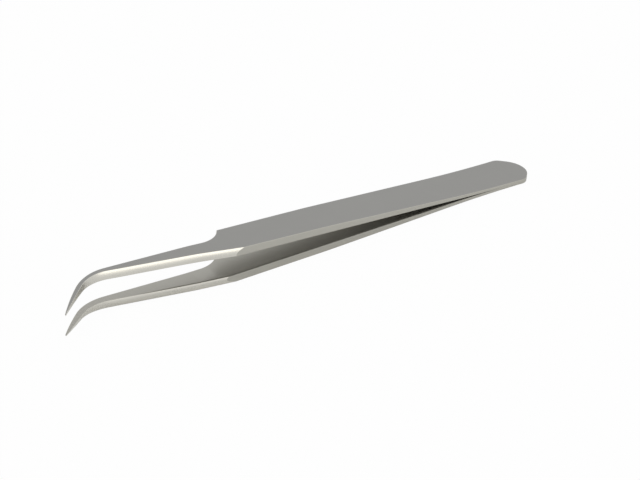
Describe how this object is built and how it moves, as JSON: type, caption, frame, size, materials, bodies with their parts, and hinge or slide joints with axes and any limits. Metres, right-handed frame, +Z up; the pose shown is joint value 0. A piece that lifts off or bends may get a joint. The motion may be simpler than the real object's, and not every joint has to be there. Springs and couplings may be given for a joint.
{
  "type": "tweezers",
  "caption": "Fine-point steel tweezers with tips bent sideways, a stepped shoulder and two sprung arms welded together at the tail.",
  "frame": {"origin": "centre of the footprint, on the surface that the tweezers lie on", "axes": "+X along the handle towards the welded tail, the tips at the -X end bent towards -Y, +Z up"},
  "size_m": [0.115, 0.0124, 0.0089],
  "materials": {
    "blade_steel": "satin ground stainless steel"
  },
  "bodies": {
    "lower_arm": {"lower_blade": "blade_steel"},
    "upper_arm": {"upper_blade": "blade_steel"}
  },
  "joints": [
    {"name": "squeeze", "type": "hinge", "parent": "lower_arm", "child": "upper_arm", "pos_m": [0.042, 0.00103, 0.0011], "axis": [0, -1, 0], "range_deg": [0, 2.36], "stiffness_Nm_per_rad": 2}
  ]
}
